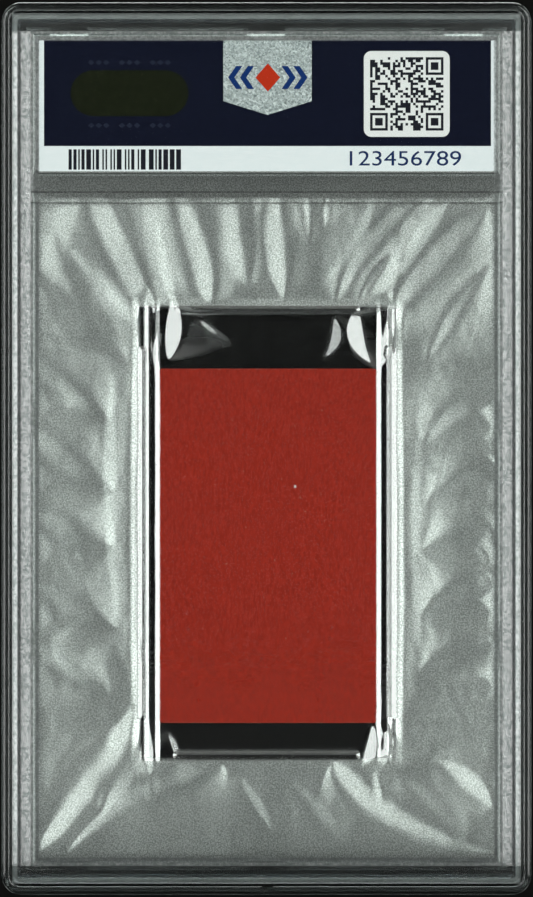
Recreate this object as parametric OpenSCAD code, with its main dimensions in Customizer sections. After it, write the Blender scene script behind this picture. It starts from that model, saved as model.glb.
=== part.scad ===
// Graded card slab: two clear shells welded round the rim, a label, a film sleeve and a card.
//
// The slab stands on its bottom edge. +Z runs up to the label end and -Y is the face with the
// code and the serial number (the back). The origin is the centre of the bottom edge.
// Every piece is drawn lying down, with x to the right, y up the slab and z out through the
// back face, about the slab's centre, and stand() then sets it upright.
// "u" is a distance in from the outer edge, and the two shells part at z = 0.

/* [Slab] */
// Width of the slab
slab_w = 80.5; // [79.5:0.1:82]
// Height of the slab
slab_h = 135.6; // [135:0.1:137]
// Thickness over both rims
slab_t = 6.35; // [6.2:0.05:6.8]
// Corner radius of the outline
corner_r = 2.9; // [2.85:0.05:3.4]

/* [Rim] */
// Height of the stacking lip over the rim's land
lip_h = 0.35; // [0.2:0.05:0.5]
// Width of the stacking lip
lip_w = 1.3; // [1.2:0.05:1.4]
// Outer edge to the recessed panel, at the foot of its bevel
rim_w = 5.1; // [4.9:0.05:5.4]
// Depth of the panel below the rim's land
panel_drop = 0.45; // [0.3:0.05:0.5]
// Wall thickness of the panels
panel_t = 1.2; // [1.1:0.05:1.3]

/* [Chambers] */
// Height on the slab of the divider's upper edge, from the centre
divider_top = 41.6; // [41:0.1:42]
// Height on the slab of the divider's lower edge, from the centre
divider_bottom = 38.9; // [38.5:0.1:39.5]
// Depth of the label pocket in each shell
label_pocket = 0.35; // [0.32:0.01:0.5]

/* [Window] */
// Height of the window's centre, from the slab's centre
window_y = -12.9; // [-13.5:0.1:-12]
// Centre to centre of the two upright ribs
rib_span = 38; // [37.5:0.1:39]
// Centre to centre of the two cross ribs
cross_span = 68; // [67:0.1:69]
// Length of the upright ribs
rib_l = 57.1; // [50:0.1:60]
// Length of the cross ribs
cross_l = 28.5; // [20:0.1:30]
// Width of all four ribs
rib_w = 1.32; // [1.1:0.02:1.4]
// Slope of the two flanks of a rib's crest, in degrees
rib_slope = 15; // [8:1:25]

/* [Contents] */
// Width of the label
label_w = 69.8; // [69:0.1:70.5]
// Height of the label
label_h = 20.5; // [20:0.1:20.6]
// Width of the collectible card
card_w = 33.1; // [30:0.1:34]
// Height of the collectible card
card_h = 54.1; // [50:0.1:56]
// Height of the card's centre at rest, from the slab's centre
card_y = -14.85; // [-15:0.05:-14]
// Width of the film sleeve
sleeve_w = 69.6; // [60:0.2:70]
// Height of the film sleeve
sleeve_h = 100.4; // [90:0.2:101]

/* [Hidden] */
$fn = 64;

half_t = slab_t / 2;              // each shell's share of the thickness
part_gap = 0.015;                 // half the hairline left between the two shells' lands
land_z = half_t - lip_h;          // top of the rim's land
panel_z = land_z - panel_drop;    // outer face of the panels
cavity_z = panel_z - panel_t;     // inner face of the card panel
gutter_z = land_z - panel_t;      // depth of the gutter round both chambers
edge_r = 0.6;                     // rounding of the outer edge
lip_r = 0.3;                      // rounding of the lip's inner edge
parting_chamfer = 0.12;
inner_wall = [corner_r, 3.7];     // u of the wall between the weld and the chambers
bevel_w = 0.3;                    // width of the panel's bevel round the rim
label_bevel_w = 0.8;              // the wider bevels on the two sides of the divider
card_bevel_w = 1.5;
tongue = [1.45, 2.15];            // u of the tongue's sides
tongue_l = 0.9;
groove_side_gap = 0.05;
groove_depth = 1.0;
channel = [2.25, 2.85];           // u of the channel that takes the squeezed-out weld
channel_z = 0.35;
bead_r = 0.29;
bead_u = (channel[0] + channel[1]) / 2;

rib_crest_z = 0.425;
rib_flat = 0.05;                  // half the width of the flat along a rib's crest
window_x = 0.12;
cross_rib_y = window_y + 0.15;    // the cross ribs lie evenly about this height

pad_w = 5.8;
pad_pitch = 30;
top_pad_l = 1.4;
bottom_pad_l = 0.95;
side_pad_l = 1.15;
side_pad_ys = [4.3, -30.1];
gate_y = -67.35;                  // foot of the gate's notch in the bottom lip
gate_h = 0.95;
mould_spot = [-31, -61.1];        // round mark that the mould's pin leaves on the card panel
mould_spot_r = 1;
mould_spot_h = 0.12;

label_t = 0.45;
label_mid = [0.15, 52.05];
foil_t = 0.05;
badge_w = 13.5;
badge_side = 9.3;                 // length of the badge's straight sides, from the label's top
badge_drop = 2.1;                 // how far the badge's point hangs below them
mark_size = [18, 7];
mark_mid = [-20.9, 54.2];
film_t = 0.08;
film_z = 0.3;                     // inner face of each film, from the mid-plane
card_t = 0.46;
card_x = 0.25;
card_corner_r = 0.4;
sleeve_mid = [0.1, -11.8];

inside_w = slab_w - 2 * inner_wall[1];
inside_h = slab_h - 2 * inner_wall[1];
panel_w = slab_w - 2 * rim_w;
panel_top = slab_h / 2 - rim_w;

// Sets a piece that was drawn lying down upright on its bottom edge.
module stand() {
    translate([0, 0, slab_h / 2]) rotate([90, 0, 0]) children();
}

// Runs a 2-D section round a rectangle with rounded corners. The section's x is measured out
// from the corners' centres, so that the outer edge is at x = r.
module round_ring(w, h, r) {
    for (turn = [0:3]) {
        across = turn % 2 == 0 ? w : h;
        along = turn % 2 == 0 ? h : w;
        rotate([0, 0, 90 * turn]) {
            translate([across / 2 - r, 0, 0])
                rotate([90, 0, 0])
                    linear_extrude(along - 2 * r, center = true) children();
            translate([across / 2 - r, along / 2 - r, 0])
                rotate_extrude(angle = 90) children();
        }
    }
}

// A block from its lower corner to its upper corner.
module block(low, high) {
    translate(low) cube(high - low);
}

// A 2-D rectangle of the rim's section, between two distances from the outer edge.
module band(u_low, u_high, z_low, z_high) {
    translate([corner_r - u_high, z_low]) square([u_high - u_low, z_high - z_low]);
}

// Section of the rim outside the inner wall: the outer wall with its rounded edge, the lip
// and the land, less the channel for the weld.
module rim_section() {
    difference() {
        union() {
            polygon([
                [0, part_gap],
                [corner_r - parting_chamfer, part_gap],
                [corner_r, part_gap + parting_chamfer],
                [corner_r, half_t - edge_r],
                [0, half_t - edge_r]
            ]);
            band(edge_r, corner_r, half_t - edge_r, land_z);
            band(edge_r, lip_w - lip_r, land_z, half_t);
            band(edge_r, lip_w, land_z, half_t - lip_r);
            translate([corner_r - edge_r, half_t - edge_r]) circle(edge_r);
            translate([corner_r - lip_w + lip_r, half_t - lip_r]) circle(lip_r);
        }
        band(channel[0], channel[1], -1, channel_z);
    }
}

// Cuts a panel down into the outer face, with a bevel of its own width on each side:
// x and y are the panel's limits, and the bevels are left, right, bottom and top.
module panel_recess(x, y, bevels) {
    rise = land_z + 1;
    intersection() {
        rotate([90, 0, 0])
            linear_extrude(2 * slab_h, center = true)
                polygon([
                    [x[0], panel_z], [x[1], panel_z],
                    [x[1] + bevels[1], land_z], [x[1] + bevels[1], rise],
                    [x[0] - bevels[0], rise], [x[0] - bevels[0], land_z]
                ]);
        rotate([90, 0, 90])
            linear_extrude(2 * slab_w, center = true)
                polygon([
                    [y[0], panel_z], [y[1], panel_z],
                    [y[1] + bevels[3], land_z], [y[1] + bevels[3], rise],
                    [y[0] - bevels[2], rise], [y[0] - bevels[2], land_z]
                ]);
    }
}

// Hollow of one chamber: a shallow middle, and a deeper gutter round it on the sides where
// the rim is. The gutter is as wide as the rim's foot leaves it.
module chamber(y, middle_z, gutter_low, gutter_high) {
    x = inside_w / 2;
    side = slab_w / 2 - rim_w + bevel_w;
    ends = rim_w - bevel_w - inner_wall[1];
    block([-side, y[0], -1], [side, y[1], middle_z]);
    for (s = [-1, 1])
        block([min(s * side, s * x), y[0], -1], [max(s * side, s * x), y[1], gutter_z]);
    if (gutter_low)
        block([-side, y[0], -1], [side, y[0] + ends, gutter_z]);
    if (gutter_high)
        block([-side, y[1] - ends, -1], [side, y[1], gutter_z]);
}

// Small pads in the gutter, which keep the label and the sleeve off the inner wall.
module pads() {
    top = inside_h / 2;
    side = inside_w / 2;
    for (x = [-pad_pitch, 0, pad_pitch]) {
        block([x - pad_w / 2, top - top_pad_l, part_gap], [x + pad_w / 2, top, gutter_z]);
        block([x - pad_w / 2, -top, part_gap], [x + pad_w / 2, bottom_pad_l - top, gutter_z]);
    }
    for (y = side_pad_ys, s = [-1, 1])
        translate([s * (side - side_pad_l / 2), y, (part_gap + gutter_z) / 2])
            cube([side_pad_l, pad_w, gutter_z - part_gap], center = true);
}

// Half the section of a rib, which hangs from the inner face: a straight side under a crest
// that slopes up to its middle like a roof.
module half_rib_section() {
    shoulder = rib_crest_z + (rib_w / 2 - rib_flat) * tan(rib_slope);
    root = cavity_z + 0.01;
    polygon([
        [0, rib_crest_z], [rib_flat, rib_crest_z], [rib_w / 2, shoulder],
        [rib_w / 2, root], [0, root]
    ]);
}

// A rib of this length over its round ends, along y and turned by an angle.
module rib(length, turn) {
    reach = (length - rib_w) / 2;
    rotate([0, 0, turn])
        for (s = [0, 180])
            rotate([0, 0, s]) {
                rotate([90, 0, 0])
                    linear_extrude(2 * reach, center = true) half_rib_section();
                translate([0, reach, 0]) rotate_extrude(angle = 180) half_rib_section();
            }
}

// The four ribs round the clear window, which pinch the film and keep the card in the middle.
module window_ribs() {
    for (s = [-1, 1]) {
        translate([window_x + s * rib_span / 2, window_y, 0]) rib(rib_l, 0);
        translate([0, cross_rib_y + s * cross_span / 2, 0]) rib(cross_l, 90);
    }
}

// One shell, with its parting plane down, less its half of the weld joint.
module shell() {
    card_y_range = [-inside_h / 2, divider_bottom];
    label_y_range = [divider_top, inside_h / 2];
    side = panel_w / 2;
    difference() {
        union() {
            round_ring(slab_w, slab_h, corner_r) rim_section();
            translate([0, 0, (land_z + part_gap) / 2])
                cube([slab_w - 2 * corner_r, slab_h - 2 * corner_r, land_z - part_gap],
                    center = true);
        }
        panel_recess([-side, side], [-panel_top, divider_bottom - card_bevel_w],
            [bevel_w, bevel_w, bevel_w, card_bevel_w]);
        panel_recess([-side, side], [divider_top + label_bevel_w, panel_top],
            [bevel_w, bevel_w, label_bevel_w, bevel_w]);
        chamber(card_y_range, cavity_z, true, false);
        chamber(label_y_range, label_pocket, false, true);
    }
    pads();
    window_ribs();
}

// Tapered notch that the gate leaves in the bottom lip.
module gate_notch() {
    translate([0.15, gate_y, land_z])
        linear_extrude(1) polygon([[-1.1, 0], [1.1, 0], [0.8, gate_h], [-0.8, gate_h]]);
}

module back_shell() {
    color([0.86, 0.9, 0.92, 0.35]) stand() {
        difference() {
            shell();
            gate_notch();
        }
        round_ring(slab_w, slab_h, corner_r)
            band(tongue[0], tongue[1], -tongue_l, part_gap + 0.1);
        translate([mould_spot[0], mould_spot[1], panel_z - 0.05])
            cylinder(h = mould_spot_h + 0.05, r = mould_spot_r);
    }
}

module front_shell() {
    color([0.82, 0.87, 0.9, 0.35]) stand() mirror([0, 0, 1]) difference() {
        shell();
        round_ring(slab_w, slab_h, corner_r)
            band(tongue[0] - groove_side_gap, tongue[1] + groove_side_gap, -1, groove_depth);
    }
}

module weld_bead() {
    color([0.93, 0.95, 0.96]) stand()
        round_ring(slab_w, slab_h, corner_r)
            translate([corner_r - bead_u, 0]) circle(bead_r, $fn = 32);
}

module label_card() {
    color([0.07, 0.09, 0.16]) stand()
        translate([label_mid[0], label_mid[1], 0])
            cube([label_w, label_h, label_t], center = true);
}

module label_badge_foil() {
    top = label_h / 2;
    color([0.74, 0.78, 0.78]) stand()
        translate([label_mid[0], label_mid[1], label_t / 2])
            linear_extrude(foil_t)
                polygon([
                    [-badge_w / 2, top], [-badge_w / 2, top - badge_side],
                    [0, top - badge_side - badge_drop],
                    [badge_w / 2, top - badge_side], [badge_w / 2, top]
                ]);
}

module label_security_foil() {
    half = mark_size / 2;
    color([0.07, 0.08, 0.05]) stand()
        translate([mark_mid[0], mark_mid[1], label_t / 2])
            linear_extrude(foil_t) {
                square([2 * (half[0] - half[1]), mark_size[1]], center = true);
                for (s = [-1, 1])
                    translate([s * (half[0] - half[1]), 0]) circle(half[1]);
            }
}

module film() {
    translate([sleeve_mid[0], sleeve_mid[1], film_z + film_t / 2])
        cube([sleeve_w, sleeve_h, film_t], center = true);
}

module sleeve_back_film() {
    color([0.8, 0.84, 0.86, 0.4]) stand() film();
}

module sleeve_front_film() {
    color([0.76, 0.8, 0.83, 0.4]) stand() mirror([0, 0, 1]) film();
}

module collectible_card() {
    w = card_w / 2 - card_corner_r;
    h = card_h / 2 - card_corner_r;
    color([0.56, 0.17, 0.13]) stand()
        translate([card_x, card_y, -card_t / 2])
            linear_extrude(card_t) {
                square([card_w, 2 * h], center = true);
                square([2 * w, card_h], center = true);
                for (x = [-w, w], y = [-h, h])
                    translate([x, y]) circle(card_corner_r, $fn = 32);
            }
}

back_shell();
front_shell();
weld_bead();
label_card();
label_badge_foil();
label_security_foil();
sleeve_back_film();
sleeve_front_film();
collectible_card();
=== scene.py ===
"""Looks of the graded card slab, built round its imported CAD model.

The slab stands on its bottom edge with its back, the face with the code and the serial number,
towards -Y. Sizes are in millimetres. Heights are measured from the slab's centre ("up"), and
depths from the plane where the two shells part, positive towards the back face.
"""
import math
import random

import bmesh
import bpy
import numpy as np
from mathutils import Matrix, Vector


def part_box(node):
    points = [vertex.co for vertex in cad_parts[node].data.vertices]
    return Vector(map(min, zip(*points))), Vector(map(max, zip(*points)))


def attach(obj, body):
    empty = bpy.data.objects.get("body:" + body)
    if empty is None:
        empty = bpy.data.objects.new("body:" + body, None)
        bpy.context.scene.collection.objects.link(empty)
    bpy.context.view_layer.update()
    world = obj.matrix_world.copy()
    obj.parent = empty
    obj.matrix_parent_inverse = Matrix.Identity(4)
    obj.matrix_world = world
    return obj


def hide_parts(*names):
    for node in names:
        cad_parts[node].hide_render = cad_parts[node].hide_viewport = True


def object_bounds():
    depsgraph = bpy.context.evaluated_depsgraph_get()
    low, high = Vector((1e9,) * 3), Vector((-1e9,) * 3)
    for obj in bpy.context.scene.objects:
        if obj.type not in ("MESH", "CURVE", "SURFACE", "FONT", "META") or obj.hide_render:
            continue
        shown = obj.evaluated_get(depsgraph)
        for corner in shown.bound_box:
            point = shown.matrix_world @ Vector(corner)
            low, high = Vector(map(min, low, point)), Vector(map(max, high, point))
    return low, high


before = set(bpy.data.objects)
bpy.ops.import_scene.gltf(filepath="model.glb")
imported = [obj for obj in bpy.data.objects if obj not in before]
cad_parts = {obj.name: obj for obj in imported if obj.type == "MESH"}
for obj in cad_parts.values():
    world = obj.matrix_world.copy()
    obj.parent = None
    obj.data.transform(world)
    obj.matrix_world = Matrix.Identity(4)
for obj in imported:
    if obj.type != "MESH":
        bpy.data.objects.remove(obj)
cad_low, cad_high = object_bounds()

MM = 0.001
HALF_W = (cad_high.x - cad_low.x) / 2 / MM
HALF_H = (cad_high.z - cad_low.z) / 2 / MM
HALF_T = (cad_high.y - cad_low.y) / 2 / MM
MID_Z = (cad_high.z + cad_low.z) / 2 / MM

# The rim and the panels, as the CAD has them.
RIM_W = 5.1
LAND_DEPTH = HALF_T - 0.35
PANEL_DEPTH = LAND_DEPTH - 0.45
CAVITY_DEPTH = PANEL_DEPTH - 1.2
DIVIDER = (38.9, 41.6)             # its lower and upper edge
CARD_BEVEL = 1.5                   # the bevel below the divider
WINDOW_HALF = (19.75, 34.6)        # half its width and half its height
WINDOW_MID = (0.12, -12.9)
RIB_X = 19.0
CROSS_RIB = (21.25, -46.75)        # the upper and the lower pair
LIP_W = 1.3
LAND_START = 1.65                  # where the textured land starts, in from the edge
RIM_INNER = 4.4                    # where the rim's smoother texture ends

# Shares of the light that the texture scatters, and that the film reflects.
HAZE = 0.02
RIM_HAZE = 0.22
FILM_SHINE = 0.33
WINDOW_SHINE = 0.24


def point(x, up, depth):
    """A place on the slab, in metres in the frame."""
    return Vector((x * MM, -depth * MM, (up + MID_Z) * MM))


def span(node):
    """A CAD node's limits: low x, high x, low up, high up, front depth, back depth."""
    low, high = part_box(node)
    return (low.x / MM, high.x / MM, low.z / MM - MID_Z, high.z / MM - MID_Z,
            -high.y / MM, -low.y / MM)


def tone(red, green, blue):
    """A linear colour from display values of 0 to 255."""
    def linear(value):
        value = value / 255
        return value / 12.92 if value <= 0.04045 else ((value + 0.055) / 1.055) ** 2.4
    return (linear(red), linear(green), linear(blue), 1)


# ---------------------------------------------------------------- node graphs

class Graph:
    """A node material that is built a node at a time. Lengths in it are millimetres."""

    def __init__(self, name):
        self.material = bpy.data.materials.new(name)
        self.material.use_nodes = True
        self.tree = self.material.node_tree
        self.tree.nodes.clear()
        where = self.add("TexCoord").outputs["Object"]
        self.at = self.vector("SCALE", where, Scale=1 / MM)
        parts = self.add("SeparateXYZ", {"Vector": self.at})
        self.x = parts.outputs["X"]
        self.back = self.math("MULTIPLY", parts.outputs["Y"], -1)
        self.up = self.math("SUBTRACT", parts.outputs["Z"], MID_Z)

    def put(self, socket, value):
        """Sets a socket to a number or a colour, or links another socket to it."""
        if isinstance(value, bpy.types.NodeSocket):
            self.tree.links.new(value, socket)
        else:
            socket.default_value = value

    def add(self, kind, inputs=None, **settings):
        node = self.tree.nodes.new("ShaderNode" + kind)
        for key, value in settings.items():
            setattr(node, key, value)
        for key, value in (inputs or {}).items():
            self.put(node.inputs[key], value)
        return node

    def math(self, operation, *values):
        node = self.add("Math", operation=operation)
        for socket, value in zip(node.inputs, values):
            self.put(socket, value)
        return node.outputs[0]

    def vector(self, operation, first, second=None, **named):
        node = self.add("VectorMath", operation=operation)
        self.put(node.inputs[0], first)
        if second is not None:
            self.put(node.inputs[1], second)
        for key, value in named.items():
            self.put(node.inputs[key], value)
        return node.outputs["Value" if operation == "LENGTH" else "Vector"]

    def mix(self, factor, first, second):
        node = self.add("Mix", data_type="RGBA")
        self.put(node.inputs[0], factor)
        self.put(node.inputs[6], first)
        self.put(node.inputs[7], second)
        return node.outputs[2]

    def fade(self, value, low, high, to_low=0.0, to_high=1.0):
        """Smooth change from to_low to to_high as value goes from low to high."""
        node = self.add("MapRange", interpolation_type="SMOOTHSTEP")
        for socket, number in zip(node.inputs, (value, low, high, to_low, to_high)):
            self.put(socket, number)
        return node.outputs[0]

    def noise(self, scale, detail=2.0, roughness=0.5, at=None, distortion=0.0):
        """Noise from 0 to 1, with scale in features a millimetre."""
        node = self.add("TexNoise", {
            "Vector": at or self.at, "Scale": scale, "Detail": detail,
            "Roughness": roughness, "Distortion": distortion})
        return node.outputs["Fac"]

    def stretched(self, x, depth, up):
        """The place, with each direction scaled."""
        return self.vector("MULTIPLY", self.at, (x, depth, up))

    def inside(self, value, middle, half, soft=0.05):
        """1 where value lies within half of middle, with a soft edge."""
        off = self.math("ABSOLUTE", self.math("SUBTRACT", value, middle))
        return self.fade(off, half - soft, half + soft, 1.0, 0.0)

    def both(self, *masks):
        """The masks multiplied together."""
        result = masks[0]
        for mask in masks[1:]:
            result = self.math("MULTIPLY", result, mask)
        return result

    def window(self):
        """1 within the clear window, and 0 outside it."""
        return self.both(self.inside(self.x, WINDOW_MID[0], WINDOW_HALF[0]),
                         self.inside(self.up, WINDOW_MID[1], WINDOW_HALF[1]))

    def towards_back(self):
        """The normal's part along Y: -1 on a face to the back, and 1 on one to the front."""
        normal = self.add("NewGeometry").outputs["Normal"]
        return self.add("SeparateXYZ", {"Vector": normal}).outputs["Y"]

    def grey(self, value):
        """A colour whose three parts are one value."""
        return self.add("CombineColor", {"Red": value, "Green": value, "Blue": value}).outputs[0]

    def bump(self, height, distance, strength=1.0, normal=None):
        """A bump whose height of 0 to 1 stands for distance in millimetres."""
        inputs = {"Height": height, "Distance": distance * MM, "Strength": strength}
        if normal is not None:
            inputs["Normal"] = normal
        return self.add("Bump", inputs).outputs["Normal"]

    def principled(self, **inputs):
        named = {key.replace("_", " ").title(): value for key, value in inputs.items()}
        fixed = {"Ior": "IOR", "Specular Ior Level": "Specular IOR Level"}
        return self.add("BsdfPrincipled", {
            fixed.get(key, key): value for key, value in named.items()}).outputs[0]

    def shade(self, shader):
        out = self.add("OutputMaterial")
        self.tree.links.new(shader, out.inputs["Surface"])
        return self.material

    def light_through(self, shader, tint):
        """The shader, which lets shadow rays through so that lamps light what it covers."""
        shadow = self.add("LightPath").outputs["Is Shadow Ray"]
        clear = self.add("BsdfTransparent", {"Color": tint}).outputs[0]
        node = self.add("MixShader", {"Fac": shadow})
        self.tree.links.new(shader, node.inputs[1])
        self.tree.links.new(clear, node.inputs[2])
        return node.outputs[0]


# ---------------------------------------------------------------- materials

def shell_plastic():
    """Clear moulded plastic. The land and the card panel are textured on the outside, apart
    from the window. The label's panel is polished, and the melted faces in the weld are rough.
    Painted shade darkens lines along the rim's lip and steps, the bevel where the rim meets the
    panels and the creases at the divider, and it makes the rim's top, bottom and lip darker than
    its upright sides, which look milky."""
    g = Graph("clear_moulded_plastic")
    depth = g.math("ABSOLUTE", g.back)
    outer = g.fade(depth, 1.7, 1.9)
    across = g.math("SUBTRACT", HALF_W, g.math("ABSOLUTE", g.x))
    along = g.math("SUBTRACT", HALF_H, g.math("ABSOLUTE", g.up))
    edge = g.math("MINIMUM", across, along)
    window = g.window()
    label_panel = g.both(
        g.fade(across, RIM_W - 0.02, RIM_W + 0.02),
        g.fade(along, RIM_W - 0.02, RIM_W + 0.02),
        g.fade(g.up, DIVIDER[1] + 0.05, DIVIDER[1] + 0.1))
    textured = g.both(outer, g.fade(edge, LAND_START - 0.05, LAND_START + 0.05),
                      g.math("SUBTRACT", 1, g.math("ADD", window, label_panel)))
    rim = g.fade(edge, RIM_W - 0.4, RIM_W - 0.2, 1.0, 0.0)
    weld = g.both(g.inside(edge, 1.8, 0.42), g.fade(depth, 1.1, 1.3, 1.0, 0.0))
    ledge = g.inside(edge, RIM_W - 0.1, 0.6, 0.05)
    lip = g.fade(edge, LIP_W, LIP_W + 0.1, 1.0, 0.0)
    inner = g.fade(edge, RIM_INNER - 0.1, RIM_INNER + 0.1, 0.4, 1.0)
    upright = g.fade(along, RIM_INNER - 0.1, RIM_INNER + 0.1)
    pebbles = g.noise(5.0, 2.0, 0.75)
    grain = g.fade(pebbles, 0.42, 0.6)
    blotches = g.noise(0.12, 3.0, 0.6)
    melt = g.noise(1.9, 2.0, 0.7)
    scuffs = g.noise(0.9, 4.0, 0.7, at=g.stretched(0.25, 1, 2.2))
    upright_rim = g.both(rim, upright)
    haze = g.both(textured, g.fade(pebbles, 0.3, 0.7, 0.75 * HAZE, HAZE))
    haze = g.math("ADD", haze, g.both(upright_rim, textured, RIM_HAZE))
    cloud = g.both(weld, g.fade(melt, 0.35, 0.7, 0.0, 0.3))
    frost = g.both(textured, inner, g.fade(blotches, 0.3, 0.7, 0.3, 0.35))
    rough = g.math("ADD", frost, g.math("MULTIPLY", weld, 0.3))
    rough = g.math("MAXIMUM", rough, g.math("MULTIPLY", ledge, 0.34))
    rough = g.math("MAXIMUM", rough, g.math("MULTIPLY", lip, 0.12))
    rough = g.math("ADD", rough, g.fade(scuffs, 0.55, 0.85, 0.012, 0.04))
    fine = g.bump(pebbles, 0.035, g.math("MULTIPLY", textured, 0.9))
    normal = g.bump(melt, 0.1, g.math("MULTIPLY", weld, 0.9), normal=fine)
    specked = g.mix(grain, tone(122, 131, 124), tone(248, 255, 251))
    speckle = g.fade(g.noise(3.0, 3.0, 0.7), 0.42, 0.56)
    specked = g.mix(rim, specked, g.mix(speckle, tone(168, 176, 174), tone(255, 255, 255)))
    sheen = g.math("SUBTRACT", 1, g.math("MULTIPLY", textured, 0.6))
    colour = g.mix(textured, tone(252, 254, 253), specked)
    # Painted shade: dark lines along the divider's lower edge and along the foot of the card
    # bevel below it, where the steps fall in shade.
    crease_shade = g.math("ADD", g.inside(g.up, DIVIDER[0] + 0.05, 0.13),
                    g.inside(g.up, DIVIDER[0] - CARD_BEVEL - 0.05, 0.12))
    crease_shade = g.both(crease_shade, g.fade(across, RIM_INNER - 0.1, RIM_INNER + 0.1),
                    g.fade(melt, 0.3, 0.6, 0.55, 1.0))
    # Painted shade: the rim's top and bottom and its lip are darker, as the lamps stand to the
    # left and right.
    painted_rim_shade = g.math("MAXIMUM", g.math("SUBTRACT", 1, upright), lip)
    colour = g.mix(g.math("MULTIPLY", painted_rim_shade, 0.8), colour, tone(160, 168, 166))
    # Painted shade: dark bands along the outer edge, along the first step, and beside the weld
    # on the upright sides.
    shade = g.math("MAXIMUM", g.fade(edge, 0.5, 0.7, 1.0, 0.0), g.inside(edge, 1.35, 0.27))
    shade = g.math("MAXIMUM", shade, g.both(g.inside(edge, 2.65, 0.25), upright_rim))
    colour = g.mix(g.math("MULTIPLY", shade, 0.85), colour, tone(60, 64, 64))
    # Painted shade: a grey band on the bevel where the rim steps down to the panels.
    colour = g.mix(g.both(ledge, g.fade(melt, 0.3, 0.7, 0.55, 1.0)), colour,
                   tone(104, 110, 108))
    colour = g.mix(g.math("MULTIPLY", crease_shade, 0.9), colour, tone(40, 44, 42))
    body = g.principled(
        base_color=colour,
        roughness=rough,
        ior=1.57,
        specular_tint=g.grey(sheen),
        transmission_weight=g.math("SUBTRACT", 1, g.math("ADD", haze, cloud)),
        normal=normal)
    return g.shade(g.light_through(body, (0.95, 0.96, 0.96, 1)))


def weld_plastic():
    """Melt squeezed out of the weld: clear, lumpy, and cloudy in places."""
    g = Graph("cloudy_weld_melt")
    lumps = g.noise(2.4, 2.0, 0.6)
    body = g.principled(
        base_color=g.mix(g.fade(lumps, 0.4, 0.65), tone(56, 66, 78), tone(190, 198, 204)),
        roughness=0.12,
        ior=1.57,
        transmission_weight=g.fade(lumps, 0.55, 0.75, 0.99, 0.85),
        normal=g.bump(lumps, 0.08, 0.8))
    return g.shade(g.light_through(body, (0.85, 0.87, 0.87, 1)))


def sleeve_film(name):
    """Thin clear film: nearly all light goes through, and the rest is a sharp reflection."""
    g = Graph(name)
    ripples = g.noise(0.5, 3.0, 0.5)
    normal = g.bump(ripples, 0.012, 0.6)
    tilt = g.add("LayerWeight", {"Blend": 0.5, "Normal": normal}).outputs["Facing"]
    window = g.window()
    share = g.math("ADD", g.fade(window, 0.0, 1.0, FILM_SHINE, WINDOW_SHINE),
                   g.math("MULTIPLY", g.math("POWER", tilt, 4.0), 0.85))
    rough = g.math("ADD", g.fade(ripples, 0.3, 0.7, 0.03, 0.05),
                   g.fade(window, 0.0, 1.0, 0.09, 0.0))
    clear = g.add("BsdfTransparent", {"Color": (0.985, 0.99, 0.99, 1)}).outputs[0]
    gloss = g.add("BsdfGlossy", {
        "Color": (1, 1, 1, 1), "Roughness": rough,
        "Normal": normal}).outputs[0]
    node = g.add("MixShader", {"Fac": share})
    g.tree.links.new(clear, node.inputs[1])
    g.tree.links.new(gloss, node.inputs[2])
    return g.shade(node.outputs[0])


def label_paper():
    """The label: a navy field over a white strip on the back, and plain white on the front."""
    g = Graph("label_paper")
    low_x, high_x, low, _, _, _ = span("label_card")
    fibres = g.noise(1.6, 4.0, 0.65, at=g.stretched(0.6, 1, 1.4))
    weave = g.noise(9.0, 2.0, 0.6)
    white = g.mix(fibres, tone(226, 235, 236), tone(246, 249, 249))
    navy = g.mix(fibres, tone(9, 12, 26), tone(17, 21, 38))
    back = g.math("LESS_THAN", g.towards_back(), -0.5)
    field = g.both(
        back,
        g.inside(g.x, (low_x + high_x) / 2, (high_x - low_x) / 2 - LABEL_MARGIN, 0.02),
        g.math("GREATER_THAN", g.up, low + STRIP_H))
    return g.shade(g.principled(
        base_color=g.mix(field, white, navy),
        roughness=g.fade(weave, 0.3, 0.7, 0.38, 0.5),
        specular_ior_level=0.03,
        normal=g.bump(g.math("ADD", fibres, g.math("MULTIPLY", weave, 0.4)), 0.012, 0.6)))


def glitter_foil():
    """Silver foil of small flakes, each at its own tilt."""
    g = Graph("silver_glitter_foil")
    flakes = g.add("TexVoronoi", {"Vector": g.at, "Scale": 4.6}).outputs["Color"]
    parts = g.add("SeparateColor", {"Color": flakes})
    own = g.vector("SUBTRACT", flakes, (0.5, 0.5, 0.5))
    tilt = g.vector("SCALE", own, Scale=0.75)
    normal = g.vector("NORMALIZE", g.vector(
        "ADD", g.add("NewGeometry").outputs["Normal"], tilt))
    grain = g.noise(7.0, 2.0, 0.6)
    colour = g.mix(parts.outputs["Red"], tone(92, 102, 102), tone(182, 190, 188))
    colour = g.mix(g.math("MULTIPLY", grain, 0.5), colour, tone(140, 149, 148))
    return g.shade(g.principled(
        base_color=colour, metallic=0.45, roughness=0.42, normal=normal))


def dark_foil():
    """Dark olive security foil with a few bright flecks."""
    g = Graph("dark_security_foil")
    flecks = g.fade(g.noise(3.6, 2.0, 0.7), 0.66, 0.74)
    grain = g.noise(1.2, 3.0, 0.6)
    base = g.mix(grain, tone(13, 17, 8), tone(25, 29, 14))
    return g.shade(g.principled(
        base_color=g.mix(flecks, base, tone(84, 88, 62)),
        roughness=g.fade(grain, 0.3, 0.7, 0.35, 0.5),
        specular_ior_level=0.04,
        normal=g.bump(grain, 0.01, 0.5)))


def printing_ink(name, colour, second):
    """Ink on paper, with the slight mottle of a print."""
    g = Graph(name)
    mottle = g.noise(3.0, 3.0, 0.6)
    return g.shade(g.principled(
        base_color=g.mix(mottle, tone(*colour), tone(*second)),
        roughness=g.fade(mottle, 0.3, 0.7, 0.42, 0.52),
        specular_ior_level=0.04,
        normal=g.bump(mottle, 0.008, 0.5)))


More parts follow.
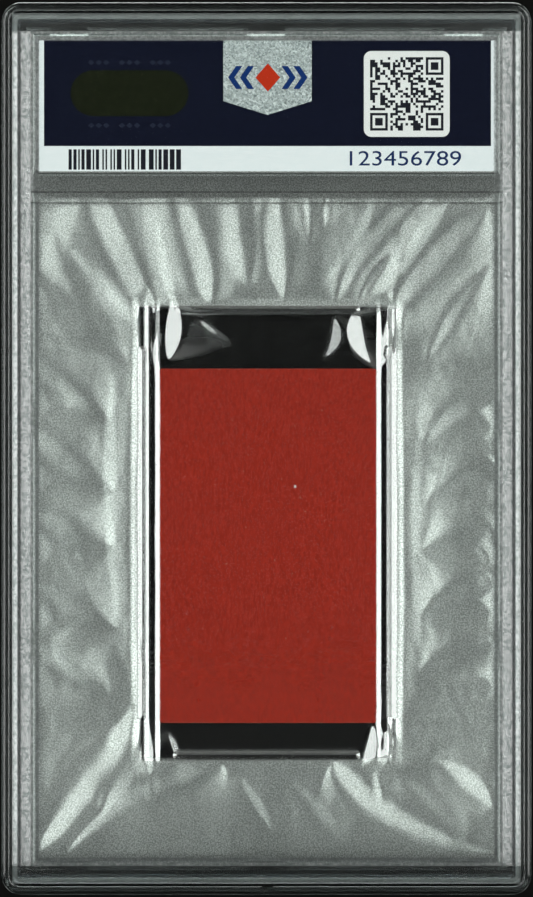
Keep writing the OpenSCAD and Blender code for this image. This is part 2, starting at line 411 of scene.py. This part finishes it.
def card_paper():
    """The collectible card: red uncoated stock on the back, cream with a plain vignette on
    the front, and worn paler edges."""
    g = Graph("card_stock")
    low_x, high_x, low, high, _, _ = span("collectible_card")
    half_x = (high_x - low_x) / 2
    half_up = (high - low) / 2
    fibres = g.noise(2.4, 5.0, 0.7, at=g.stretched(1.6, 1, 0.5))
    grain = g.noise(6.0, 3.0, 0.65)
    cloud = g.noise(0.16, 3.0, 0.6)
    specks = g.fade(g.noise(2.1, 2.0, 0.5), 0.745, 0.76)
    red = g.mix(g.fade(fibres, 0.3, 0.7), tone(164, 36, 16), tone(212, 58, 34))
    red = g.mix(g.math("MULTIPLY", cloud, 0.45), red, tone(178, 46, 32))
    red = g.mix(g.fade(grain, 0.45, 0.7, 0.0, 0.5), red, tone(130, 28, 16))
    red = g.mix(g.math("MULTIPLY", specks, 0.55), red, tone(214, 176, 150))
    chip = g.both(g.inside(g.x, 4.37, 0.16, 0.08), g.inside(g.up, -5.8, 0.2, 0.08))
    red = g.mix(chip, red, tone(250, 240, 226))
    cream = g.mix(fibres, tone(214, 198, 164), tone(232, 219, 188))
    off_x = g.math("ABSOLUTE", g.math("SUBTRACT", g.x, (low_x + high_x) / 2))
    off_up = g.math("ABSOLUTE", g.math("SUBTRACT", g.up, (low + high) / 2))
    to_edge = g.math("MINIMUM", g.math("SUBTRACT", half_x, off_x),
                     g.math("SUBTRACT", half_up, off_up))
    sky = g.mix(g.fade(g.up, low, high), tone(150, 158, 116), tone(168, 196, 200))
    rise = g.math("SUBTRACT", g.up, (low + high) / 2 + 6)
    disc = g.math("POWER", g.math("ADD", g.math("POWER", off_x, 2),
                                  g.math("POWER", g.math("ABSOLUTE", rise), 2)), 0.5)
    scene = g.mix(g.fade(disc, 6.4, 6.6, 1.0, 0.0), sky, tone(196, 120, 62))
    front = g.mix(g.fade(to_edge, 2.2, 2.3), cream, tone(96, 66, 46))
    front = g.mix(g.fade(to_edge, 2.6, 2.7), front, scene)
    colour = g.mix(g.math("GREATER_THAN", g.towards_back(), 0.5), red, front)
    worn = g.math("MULTIPLY", g.fade(to_edge, 0.0, 0.28, 1.0, 0.0),
                  g.fade(g.noise(0.8, 3.0, 0.6), 0.45, 0.75, 0.05, 0.5))
    return g.shade(g.principled(
        base_color=g.mix(worn, colour, tone(196, 128, 108)),
        roughness=0.78,
        specular_ior_level=0.25,
        normal=g.bump(g.math("ADD", fibres, grain), 0.03, 0.5)))


def studio_floor():
    """Pale floor. Its glow stands for room light, and dies away with the distance."""
    g = Graph("pale_floor")
    g.material.cycles.emission_sampling = "NONE"
    mottle = g.noise(0.02, 3.0, 0.5)
    colour = g.mix(mottle, tone(214, 214, 211), tone(222, 222, 219))
    far = g.vector("LENGTH", g.at)
    return g.shade(g.principled(
        base_color=colour, roughness=0.7, specular_ior_level=0.2, emission_color=colour,
        emission_strength=g.fade(far, 800, 3200, FLOOR_GLOW, 0.0)))


def black_cloth():
    """Dull black cloth with a faint nap."""
    g = Graph("black_backdrop_cloth")
    nap = g.noise(0.5, 4.0, 0.7)
    return g.shade(g.principled(
        base_color=g.mix(nap, (0.004, 0.004, 0.0038, 1), (0.009, 0.009, 0.0085, 1)),
        roughness=0.95, specular_ior_level=0.0))


# ---------------------------------------------------------------- meshes

def piece(name, build, material, body="case", smooth=False):
    """An object from a function that fills a bmesh, riding on a body."""
    shape = bmesh.new()
    build(shape)
    data = bpy.data.meshes.new(name)
    shape.to_mesh(data)
    shape.free()
    made = bpy.data.objects.new(name, data)
    bpy.context.scene.collection.objects.link(made)
    data.materials.append(material)
    if smooth:
        data.shade_smooth()
    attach(made, body)
    return made


def plate(shape, outline, depth, thickness):
    """A flat closed plate: outline is (x, up) points anticlockwise as the back is seen."""
    outer = [shape.verts.new(point(x, up, depth + thickness)) for x, up in outline]
    inner = [shape.verts.new(point(x, up, depth)) for x, up in outline]
    shape.faces.new(outer)
    shape.faces.new(inner[::-1])
    count = len(outline)
    for i in range(count):
        j = (i + 1) % count
        shape.faces.new((outer[i], inner[i], inner[j], outer[j]))


def rectangle(x0, x1, up0, up1):
    """Its corners, anticlockwise as the back is seen."""
    return [(x0, up0), (x1, up0), (x1, up1), (x0, up1)]


def rounded(x0, x1, up0, up1, r, steps=8):
    """A rectangle with round corners."""
    corners = [(x1 - r, up0 + r, -90), (x1 - r, up1 - r, 0),
               (x0 + r, up1 - r, 90), (x0 + r, up0 + r, 180)]
    points = []
    for x, up, start in corners:
        for i in range(steps + 1):
            angle = math.radians(start + 90 * i / steps)
            points.append((x + r * math.cos(angle), up + r * math.sin(angle)))
    return points


# ---------------------------------------------------------------- the label's print

LABEL_MARGIN = 0.8
STRIP_H = 4.35
INK_T = 0.012
LABEL = span("label_card")
PRINT_DEPTH = LABEL[5]
BADGE = span("label_badge_foil")


BARS_X = (-30.2, -12.95)
BARS_UP = (LABEL[2] + 0.7, LABEL[2] + 3.85)
BAR_UNIT = 0.245                   # the width of the thinnest bar


def bar_code(shape):
    """Bars of three widths, drawn from a fixed seed."""
    draw = random.Random(7)
    x, end = BARS_X
    while x < end - 0.2:
        width = BAR_UNIT * draw.choice((1, 1, 2, 2, 3))
        plate(shape, rectangle(x, min(x + width, end), *BARS_UP), PRINT_DEPTH, INK_T)
        x += width + BAR_UNIT * draw.choice((1, 1, 2, 2))


CODE_MID = (21.4, 54.1)
CODE_COUNT = 29                    # squares along a side
CODE_SIZE = 11.2
CODE_BORDER = 0.95
CODE_ROUND = 1.15


def code_block(shape):
    """The white block with round corners that the square code lies on."""
    half = CODE_SIZE / 2 + CODE_BORDER
    plate(shape, rounded(CODE_MID[0] - half, CODE_MID[0] + half,
                         CODE_MID[1] - half, CODE_MID[1] + half, CODE_ROUND),
          PRINT_DEPTH, INK_T)


def code_modules(shape):
    """Square modules at random round three corner squares: a pattern that says nothing."""
    draw = random.Random(21)
    side = CODE_SIZE / CODE_COUNT
    last = CODE_COUNT - 7
    finders = [(last, last), (0, 0), (last, 0)]

    def finder(column, row):
        for left, low in finders:
            i, j = column - left, row - low
            if -1 <= i <= 7 and -1 <= j <= 7:
                ring = max(abs(i - 3), abs(j - 3))
                return ring in (0, 1, 3)
        return None

    for row in range(CODE_COUNT):
        column = 0
        while column < CODE_COUNT:
            start = column
            while column < CODE_COUNT:
                fixed = finder(column, row)
                dark = draw.random() < 0.5 if fixed is None else fixed
                if not dark:
                    break
                column += 1
            if column > start:
                x = CODE_MID[0] - CODE_SIZE / 2
                up = CODE_MID[1] - CODE_SIZE / 2 + row * side
                plate(shape, rectangle(x + start * side, x + column * side, up, up + side),
                      PRINT_DEPTH + INK_T, INK_T)
            column += 1


def digits(name, text, x0, x1, up, height, depth, material, mirrored=False):
    """Generic digits set in Blender's own font, as a mesh."""
    curve = bpy.data.curves.new(name, "FONT")
    curve.body = text
    curve.size = 1.0
    made = bpy.data.objects.new(name, curve)
    bpy.context.scene.collection.objects.link(made)
    bpy.context.view_layer.update()
    flat = bpy.data.meshes.new_from_object(made.evaluated_get(
        bpy.context.evaluated_depsgraph_get()))
    bpy.data.objects.remove(made)
    spots = np.array([v.co for v in flat.vertices])
    low, high = spots.min(0), spots.max(0)
    shape = bmesh.new()
    shape.from_mesh(flat)
    bpy.data.meshes.remove(flat)
    bmesh.ops.triangulate(shape, faces=shape.faces[:])
    for v in shape.verts:
        across = (v.co.x - low[0]) / (high[0] - low[0])
        rise = (v.co.y - low[1]) / (high[1] - low[1])
        x = x1 - across * (x1 - x0) if mirrored else x0 + across * (x1 - x0)
        v.co = point(x, up + rise * height, depth)
    # The walls are made in a fixed order, so that each run gives the same mesh.
    flats = shape.faces[:]
    walls = [(loop.vert, loop.link_loop_next.vert) for face in flats for loop in face.loops
             if loop.edge.is_boundary]
    step = point(0, 0, -INK_T if mirrored else INK_T) - point(0, 0, 0)
    raised = {v: shape.verts.new(v.co + step) for v in shape.verts[:]}
    for face in flats:
        shape.faces.new([raised[v] for v in face.verts])
    for first, second in walls:
        shape.faces.new((first, second, raised[second], raised[first]))
    bmesh.ops.recalc_face_normals(shape, faces=shape.faces[:])
    data = bpy.data.meshes.new(name)
    shape.to_mesh(data)
    shape.free()
    data.materials.append(material)
    result = bpy.data.objects.new(name, data)
    bpy.context.scene.collection.objects.link(result)
    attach(result, "case")
    return result


EMBLEM_MID = (0.2, 56.6)


def emblem_wings(shape):
    """Two pairs of chevrons that point away from the middle."""
    for s in (-1, 1):
        for start in (2.1, 3.9):
            points = [(start, -1.75), (start + 0.95, -1.75), (start + 2.15, 0),
                      (start + 0.95, 1.75), (start, 1.75), (start + 1.2, 0)]
            placed = [(EMBLEM_MID[0] + s * x, EMBLEM_MID[1] + up) for x, up in points]
            plate(shape, placed if s > 0 else placed[::-1], BADGE[5], INK_T)


def emblem_heart(shape):
    """A lozenge in the emblem's middle."""
    points = [(-1.9, 0), (0, -2.15), (1.9, 0), (0, 2.15)]
    plate(shape, [(EMBLEM_MID[0] + x, EMBLEM_MID[1] + up) for x, up in points],
          BADGE[5], INK_T)


def faint_rows(shape):
    """Rows of small lozenges above and below the security foil."""
    for up in (58.9, 49.3):
        for x in (-25.6, -20.9, -16.2):
            for step in (-1, 0, 1):
                middle = x + 1.15 * step
                plate(shape, [(middle - 0.5, up), (middle, up - 0.42),
                              (middle + 0.5, up), (middle, up + 0.42)],
                      PRINT_DEPTH, INK_T)


def front_lines(shape):
    """Bars on the front of the label, in the places of its lines of print."""
    rows = [(57.8, 30.0), (54.0, 24.0), (50.2, 33.0), (46.4, 18.0)]
    for up, length in rows:
        outline = rounded(-32.5, -32.5 + length, up - 0.8, up + 0.8, 0.4)
        mirrored = [(-x, y) for x, y in outline][::-1]
        plate(shape, mirrored, LABEL[4] - INK_T, INK_T)


def front_frame(shape):
    """A thin border on the front of the label."""
    x0, x1, up0, up1 = LABEL[0] + 0.9, LABEL[1] - 0.9, LABEL[2] + 0.9, LABEL[3] - 0.9
    t = 0.55
    for box in ((x0, x1, up0, up0 + t), (x0, x1, up1 - t, up1),
                (x0, x0 + t, up0 + t, up1 - t), (x1 - t, x1, up0 + t, up1 - t)):
        plate(shape, rectangle(*box), LABEL[4] - INK_T, INK_T)


# ---------------------------------------------------------------- the weld

WELD_IN = 2.55                     # from the slab's edge to the bead's middle
WELD_R = 0.24
WELD_STEP = 0.14                   # between the bead's rings
CORNER_R = 2.9


def weld_rope(shape):
    """The melt's bead round the rim: a tube whose thickness comes and goes like a rope's."""
    draw = random.Random(3)
    r = CORNER_R - WELD_IN
    half_x, half_up = HALF_W - CORNER_R, HALF_H - CORNER_R
    path = []

    def run(x0, up0, x1, up1, out):
        count = max(2, round(math.hypot(x1 - x0, up1 - up0) / WELD_STEP))
        for i in range(count):
            t = i / count
            path.append((x0 + (x1 - x0) * t, up0 + (up1 - up0) * t, out))

    def turn(x, up, start):
        for i in range(8):
            angle = math.radians(start + 90 * i / 8)
            path.append((x + r * math.cos(angle), up + r * math.sin(angle), angle))

    run(half_x + r, -half_up, half_x + r, half_up, 0.0)
    turn(half_x, half_up, 0)
    run(half_x, half_up + r, -half_x, half_up + r, math.pi / 2)
    turn(-half_x, half_up, 90)
    run(-half_x - r, half_up, -half_x - r, -half_up, math.pi)
    turn(-half_x, -half_up, 180)
    run(-half_x, -half_up - r, half_x, -half_up - r, math.pi * 1.5)
    turn(half_x, -half_up, 270)

    sides = 8
    rings = []
    swell = 0.0
    for i, (x, up, out) in enumerate(path):
        swell = 0.8 * swell + 0.2 * draw.uniform(-1, 1)
        ring = []
        for k in range(sides):
            angle = 2 * math.pi * k / sides
            twist = math.cos(2 * angle + i * 2 * math.pi / 5.5)
            size = WELD_R * (0.92 + 0.08 * twist + 0.25 * swell)
            reach = size * math.cos(angle)
            ring.append(shape.verts.new(point(
                x + reach * math.cos(out), up + reach * math.sin(out),
                size * math.sin(angle))))
        rings.append(ring)
    for ring, other in zip(rings, rings[1:] + rings[:1]):
        for k in range(sides):
            m = (k + 1) % sides
            shape.faces.new((ring[k], ring[m], other[m], other[k]))
    bmesh.ops.recalc_face_normals(shape, faces=shape.faces[:])


# ---------------------------------------------------------------- the film sleeve

SLEEVE = span("sleeve_back_film")
CARD = span("collectible_card")
GRID = 0.3
FILM_GAP = 0.04                    # between the film and the card or the shell
FILM_LOW = 0.03
FILM_HIGH = CAVITY_DEPTH - FILM_GAP
FILM_REST = 0.58                   # where the loose film lies on average
FILM_DIP = 0.1                     # where it lies beside the card
FILM_ON_RIB = 0.33

# Folds: start x and up, end x and up, bend, half width, slope, where it is widest (0 to 1).
# Each is a slope across the line from its start to its end, as wide as a leaf.
BACK_FOLDS = [
    (-27.2, 43.0, -17.2, 20.0, -1.0, 3.1, 0.27, 0.5),
    (-15.2, 43.0, -8.8, 20.4, 1.2, 2.5, 0.26, 0.5),
    (-3.6, 41.0, -2.6, 25.0, 0.2, 1.2, 0.18, 0.4),
    (1.4, 41.0, 2.6, 22.5, -0.9, 2.0, 0.25, 0.5),
    (5.9, 38.6, 6.4, 31.0, 0.1, 0.55, 0.24, 0.3),
    (9.4, 38.6, 9.0, 33.0, 0.1, 0.5, 0.24, 0.3),
    (25.0, 40.0, 10.6, 22.0, 1.8, 1.8, 0.25, 0.5),
    (18.8, 29.5, 14.0, 21.8, 0.3, 0.7, 0.25, 0.4),
    (33.4, 36.5, 17.6, 18.8, 0.8, 2.5, 0.26, 0.42),
    (34.0, 28.0, 24.5, 13.0, 0.6, 1.2, 0.2, 0.5),
    (-35.0, 27.0, -21.5, 13.0, -0.8, 2.0, 0.12, 0.5),
    (-32.5, 33.0, -22.5, 17.0, -0.8, 1.4, 0.08, 0.5),
    (-19.6, -38.5, -35.2, -61.5, -1.2, 2.1, 0.26, 0.5),
    (-15.6, -46.5, -25.0, -56.0, 1.6, 1.5, 0.22, 0.4),
    (-6.8, -48.0, -30.5, -61.6, 2.4, 1.9, 0.26, 0.32),
    (10.0, -47.8, 34.5, -61.5, -2.6, 1.9, 0.26, 0.28),
    (24.5, -47.0, 34.5, -54.5, 1.0, 1.4, 0.26, 0.6),
    (16.0, -48.5, 17.2, -54.5, 0.3, 0.4, 0.3, 0.5),
    (-20.5, 12.0, -20.5, -36.0, 0.6, 1.0, 0.25, 0.5),
    (20.5, 12.0, 20.7, -41.0, -0.6, 1.05, -0.25, 0.5),
    (-35.5, 13.5, -24.0, 4.0, -0.8, 2.2, 0.21, 0.4),
    (-35.5, 3.0, -23.5, -6.5, -1.2, 2.3, 0.21, 0.4),
    (-35.5, -9.0, -23.5, -15.0, -1.2, 2.0, 0.21, 0.4),
    (-35.5, -20.0, -23.0, -27.5, -1.0, 2.1, 0.21, 0.4),
    (-35.5, -29.0, -24.0, -37.5, -1.0, 1.6, 0.2, 0.4),
    (35.5, 9.5, 24.0, 0.5, 0.9, 2.0, 0.21, 0.4),
    (35.5, -3.0, 24.3, -8.5, 0.6, 1.8, 0.21, 0.3),
    (35.5, -13.5, 24.0, -15.5, 0.8, 1.7, 0.24, 0.35),
    (35.5, -20.5, 23.5, -25.5, 0.9, 1.9, 0.24, 0.35),
    (35.5, -30.5, 23.5, -34.0, 0.7, 1.7, 0.22, 0.4),
    (35.2, 3.5, 32.2, 5.4, 0.5, 0.5, 0.36, 0.3),
    (35.2, -16.4, 31.8, -15.2, 0.6, 0.55, 0.36, 0.3),
    (35.2, -20.2, 31.6, -18.8, 0.6, 0.6, 0.36, 0.3),
    (35.2, -25.0, 32.0, -23.2, 0.5, 0.55, 0.36, 0.3),
    (35.2, -30.2, 32.2, -28.4, 0.5, 0.5, 0.36, 0.3),
    (35.2, -36.2, 32.4, -34.8, 0.5, 0.5, 0.36, 0.3),
]
FRONT_FOLDS = [
    (-17.2, 39.0, -14.3, 22.0, -0.4, 0.9, 0.27, 0.7),
    (-30.0, 30.0, -19.5, 18.0, 0.9, 1.2, 0.22, 0.4),
    (16.5, 38.5, 8.0, 24.0, -0.9, 1.1, 0.22, 0.5),
    (28.0, 38.0, 20.5, 26.0, 0.8, 1.3, 0.21, 0.5),
    (-4.5, -50.0, 1.0, -59.0, 0.5, 0.9, 0.22, 0.4),
    (-24.0, -42.5, -33.5, -52.5, 0.9, 1.3, 0.19, 0.4),
    (4.0, -51.0, 12.0, -61.0, 0.6, 1.3, 0.18, 0.5),
    (20.5, -50.0, 30.0, -61.0, 1.0, 1.3, 0.2, 0.4),
    (-23.5, 12.0, -23.0, -26.0, -0.8, 1.1, 0.2, 0.5),
    (23.8, 10.0, 23.5, -34.0, 0.8, 1.1, -0.2, 0.5),
    (-33.0, -30.0, -25.0, -36.0, -0.8, 1.4, 0.2, 0.4),
]

# The same in the corners of the window, where the film only rises, clear of the card's way.
BACK_CORNERS = [
    (-14.2, 23.5, -14.9, 13.6, -0.5, 1.25, 0.28, 0.55),
    (-18.2, 24.5, -16.7, 12.4, 0.9, 0.5, 0.3, 0.4),
    (13.4, 20.6, 16.9, 12.2, -1.2, 1.45, -0.27, 0.38),
    (19.0, 24.0, 17.0, 12.6, -0.8, 0.55, -0.3, 0.35),
    (-18.3, -40.8, -17.9, -49.8, 0.3, 0.5, 0.32, 0.7),
    (16.2, -42.0, 14.4, -48.6, -0.9, 0.8, 0.32, 0.5),
    (18.6, -41.5, 16.8, -49.8, -0.8, 0.45, -0.32, 0.5),
]
FRONT_CORNERS = [
    (-10.6, 19.8, -14.0, 13.6, -0.6, 1.1, 0.13, 0.3),
    (10.4, 20.4, 8.6, 13.6, -1.2, 1.2, 0.15, 0.45),
    (-15.2, -43.2, -13.6, -47.5, 0.2, 0.5, 0.2, 0.5),
]


def soft_step(value, power):
    """Runs straight through 0 and levels off at -1 and 1. A higher power turns more sharply."""
    return value / (1 + np.abs(value) ** power) ** (1 / power)


def leaf(x, up, fold):
    """A slope across a bent line, as wide as a leaf along it. Of the two ways across, the one
    that a positive slope faces is the one that looks up, or to the right of an upright line."""
    x0, up0, x1, up1, bend, width, slope, widest = fold
    length = math.hypot(x1 - x0, up1 - up0)
    ux, uy = (x1 - x0) / length, (up1 - up0) / length
    t = np.clip(((x - x0) * ux + (up - up0) * uy) / length, 0, 1)
    way = 1 if ux >= 0 else -1
    off = (-(x - x0) * uy + (up - up0) * ux) * way - bend * 4 * t * (1 - t)
    half = width * np.sin(math.pi * t ** (math.log(0.5) / math.log(widest))) ** 0.8 + 0.04
    return -slope * half * soft_step(off / half, 4), off / half, half


def waves(x, up, seed, count, low, high):
    """Gentle waves in random directions, from low to high wavelength."""
    draw = random.Random(seed)
    total = np.zeros_like(x)
    for _ in range(count):
        angle = draw.uniform(0, math.pi)
        length = draw.uniform(low, high)
        phase = draw.uniform(0, 2 * math.pi)
        total += np.sin((x * math.cos(angle) + up * math.sin(angle))
                        * 2 * math.pi / length + phase)
    return total / count ** 0.5


def blend_in(value, low, high):
    """Smooth change from 0 to 1 as value goes from low to high."""
    t = np.clip((value - low) / (high - low), 0, 1)
    return t * t * (3 - 2 * t)


def soft_limit(value, low, high):
    """Keeps value between two limits with no crease."""
    middle, half = (low + high) / 2, (high - low) / 2
    return middle + half * soft_step((value - middle) / half, 6)


def film_depth(x, up, folds, corners, seed):
    """Distance of a film from the mid-plane. Between the ribs it lies on the card and leaves
    the card's whole way along the window open; outside it is loose and folded."""
    loose = FILM_REST + 0.06 * waves(x, up, seed, 7, 9, 24)
    loose = loose + 0.008 * waves(x, up, seed + 1, 9, 2.0, 5)
    for fold in folds:
        rise, off, half = leaf(x, up, fold)
        loose = loose + rise * np.exp(-(off / 3.2) ** 2)
    loose = soft_limit(loose, FILM_LOW, FILM_HIGH)
    card_x = (CARD[0] + CARD[1]) / 2
    off = np.abs(x - card_x)
    edge = (CARD[1] - CARD[0]) / 2
    flat = CARD[5] + FILM_GAP + 0.006 * waves(x, up, seed + 2, 5, 6, 16)
    dip = blend_in(off, edge + 0.1, edge + 0.6)
    climb = blend_in(off, edge + 1.75, edge + 2.35)
    channel = flat * (1 - dip) + FILM_DIP * dip * (1 - climb) + FILM_ON_RIB * climb
    inside_x = 1 - blend_in(np.abs(x - WINDOW_MID[0]), RIB_X + 0.3, RIB_X + 1.8)
    middle = (CROSS_RIB[0] + CROSS_RIB[1]) / 2
    half_way = (CROSS_RIB[0] - CROSS_RIB[1]) / 2
    inside_up = 1 - blend_in(np.abs(up - middle), half_way + 0.3, half_way + 2.0)
    inside = inside_x * inside_up
    depth = loose * (1 - inside) + channel * inside
    for fold in corners:
        rise, off, half = leaf(x, up, fold)
        steep = abs(fold[6])
        depth = depth + (rise + steep * half) * np.exp(-(off / 4.5) ** 2) * 0.9
    return np.clip(depth, FILM_LOW, FILM_HIGH)


def film(shape, folds, seed, side):
    """One sheet of the sleeve. side is 1 for the back sheet and -1 for the front one."""
    xs = np.linspace(SLEEVE[0], SLEEVE[1], round((SLEEVE[1] - SLEEVE[0]) / GRID) + 1)
    ups = np.linspace(SLEEVE[2], SLEEVE[3], round((SLEEVE[3] - SLEEVE[2]) / GRID) + 1)
    grid_x, grid_up = np.meshgrid(xs, ups)
    corners = BACK_CORNERS if side > 0 else FRONT_CORNERS
    depth = film_depth(grid_x, grid_up, folds, corners, seed) * side
    rows = []
    for i in range(len(ups)):
        rows.append([shape.verts.new(point(xs[j], ups[i], depth[i, j]))
                     for j in range(len(xs))])
    for low, high in zip(rows, rows[1:]):
        for j in range(len(xs) - 1):
            cell = (low[j], low[j + 1], high[j + 1], high[j])
            shape.faces.new(cell if side > 0 else cell[::-1])


# ---------------------------------------------------------------- stage

CAMERA_LENS = 110.0
SENSOR = 36.0
FRAME_MARGIN = 1.004               # how much taller the picture is than the slab
CAMERA_DISTANCE = HALF_H * FRAME_MARGIN / (SENSOR / 2 / CAMERA_LENS) + HALF_T


def add_camera():
    """A long lens, square on to the slab's middle."""
    data = bpy.data.cameras.new("camera")
    data.lens = CAMERA_LENS
    data.sensor_width = SENSOR
    data.clip_start = 0.01
    camera = bpy.data.objects.new("camera", data)
    camera.location = point(0, 0, CAMERA_DISTANCE)
    camera.rotation_euler = (math.pi / 2, 0, 0)
    bpy.context.scene.collection.objects.link(camera)
    bpy.context.scene.camera = camera


def add_softbox(name, azimuth, height, distance, width, tall, radiance):
    """An area light round the slab. Azimuth 0 is the camera's side. Lengths are metres."""
    angle = math.radians(azimuth)
    data = bpy.data.lights.new(name, "AREA")
    data.shape = "RECTANGLE"
    data.size = width
    data.size_y = tall
    data.energy = radiance * math.pi * width * tall
    data.color = (0.975, 1.0, 0.985)
    lamp = bpy.data.objects.new(name, data)
    lamp.location = (distance * math.sin(angle), -distance * math.cos(angle), height)
    aim_at = Vector((0, 0, MID_Z * MM))
    lamp.rotation_mode = "QUATERNION"
    lamp.rotation_quaternion = (aim_at - lamp.location).to_track_quat("-Z", "Y")
    lamp.visible_camera = False
    bpy.context.scene.collection.objects.link(lamp)


FLOOR_Z = -0.45
STAND = (0.11, 0.05)               # width and depth of the stand's top
WALL_Y = 0.95
FLOOR_GLOW = 0.3
KEY_SIDE = 37                      # degrees from the camera to either side
KEY_RADIANCE = 3.75


def stage_piece(name, build, material, smooth=False):
    """A part of the stage, from a function that fills a bmesh."""
    shape = bmesh.new()
    build(shape)
    data = bpy.data.meshes.new(name)
    shape.to_mesh(data)
    shape.free()
    data.materials.append(material)
    if smooth:
        data.shade_smooth()
    made = bpy.data.objects.new(name, data)
    bpy.context.scene.collection.objects.link(made)


def stand_block(shape):
    """A narrow stand under the slab, so that the lamps reach it from below too."""
    bmesh.ops.create_cube(shape, size=1)
    for v in shape.verts:
        v.co = (v.co.x * STAND[0], v.co.y * STAND[1], -0.0002 + (v.co.z - 0.5) * -FLOOR_Z)
    bmesh.ops.bevel(shape, geom=shape.edges[:], offset=0.002, segments=3, affect="EDGES")


def black_sweep(shape):
    """The black cloth behind the slab, curved where it meets the floor."""
    half, top, radius = 0.6, 0.7, 0.25
    profile = [(0.3, FLOOR_Z + 0.002)]
    for i in range(13):
        angle = math.pi / 2 * i / 12
        profile.append((WALL_Y - radius + radius * math.sin(angle),
                        FLOOR_Z + 0.002 + radius - radius * math.cos(angle)))
    profile.append((WALL_Y, top))
    pairs = [[shape.verts.new((x, y, z)) for x in (-half, half)] for y, z in profile]
    for low, high in zip(pairs, pairs[1:]):
        shape.faces.new((low[0], low[1], high[1], high[0]))


def pale_ground(shape):
    """The floor, a plain square."""
    bmesh.ops.create_grid(shape, x_segments=4, y_segments=4, size=6)
    bmesh.ops.translate(shape, vec=(0, 0, FLOOR_Z), verts=shape.verts[:])


def add_stage():
    """A pale floor, a black stand for the slab, and a black cloth hung behind it."""
    cloth = black_cloth()
    stage_piece("floor", pale_ground, studio_floor())
    stage_piece("stand", stand_block, cloth)
    stage_piece("backdrop", black_sweep, cloth, smooth=True)


def add_world():
    """A nearly black room, so that the lamps give the light."""
    world = bpy.data.worlds.new("studio")
    world.use_nodes = True
    background = world.node_tree.nodes["Background"]
    background.inputs["Color"].default_value = (0.93, 0.97, 1.0, 1)
    background.inputs["Strength"].default_value = 0.004
    bpy.context.scene.world = world


# ---------------------------------------------------------------- assembly

def paint(node, material):
    """Gives a CAD node its material."""
    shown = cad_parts[node]
    shown.data.materials.clear()
    shown.data.materials.append(material)


def main():
    """Sets the stage, paints the CAD nodes and adds the pieces that the CAD leaves plain."""
    add_camera()
    add_world()
    for name, azimuth in (("key_left", -KEY_SIDE), ("key_right", KEY_SIDE)):
        add_softbox(name, azimuth, MID_Z * MM, 0.8, 0.68, 0.95, KEY_RADIANCE)
    add_softbox("overhead", 0, 1.2, 0.1, 0.8, 0.4, 2.0)
    add_softbox("fill_back", 180, 0.95, 0.7, 0.9, 0.4, 7.0)
    add_stage()
    scene = bpy.context.scene
    scene.view_settings.view_transform = "Standard"
    scene.cycles.transparent_max_bounces = 24
    scene.cycles.transmission_bounces = 16
    scene.cycles.max_bounces = 16
    scene.cycles.caustics_reflective = False
    scene.cycles.caustics_refractive = False

    shell = shell_plastic()
    for node in ("back_shell", "front_shell"):
        paint(node, shell)
    paint("label_card", label_paper())
    paint("label_badge_foil", glitter_foil())
    paint("label_security_foil", dark_foil())
    paint("collectible_card", card_paper())

    ink = printing_ink("dark_ink", (24, 26, 34), (32, 33, 40))
    navy = printing_ink("navy_ink", (20, 40, 82), (28, 48, 92))
    white = printing_ink("white_ink", (232, 233, 230), (242, 243, 241))
    blue = printing_ink("blue_ink", (14, 42, 96), (24, 54, 110))
    red = printing_ink("red_ink", (178, 44, 22), (196, 56, 30))
    faint = printing_ink("faint_ink", (30, 35, 50), (38, 43, 58))
    grey = printing_ink("grey_ink", (104, 110, 118), (122, 128, 136))
    piece("label_bar_code", bar_code, ink)
    piece("label_code_block", code_block, white)
    piece("label_code_modules", code_modules, ink)
    piece("label_emblem_wings", emblem_wings, blue)
    piece("label_emblem_heart", emblem_heart, red)
    piece("label_faint_rows", faint_rows, faint)
    piece("label_front_lines", front_lines, grey)
    piece("label_front_frame", front_frame, navy)
    digits("label_serial_digits", "123456789", 12.7, 29.7, 43.15, 2.25, PRINT_DEPTH, navy)
    digits("label_front_digit", "8", -30.5, -24.5, 46.5, 9.0, LABEL[4], navy, mirrored=True)

    rope = piece("weld_rope", weld_rope, weld_plastic(), smooth=True)
    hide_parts("weld_bead")

    for side, name, folds, seed in ((1, "sleeve_back", BACK_FOLDS, 11),
                                    (-1, "sleeve_front", FRONT_FOLDS, 31)):
        sheet = piece(name + "_sheet", lambda shape: film(shape, folds, seed, side),
                      sleeve_film(name + "_film"), smooth=True)
        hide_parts(name + "_film")


main()
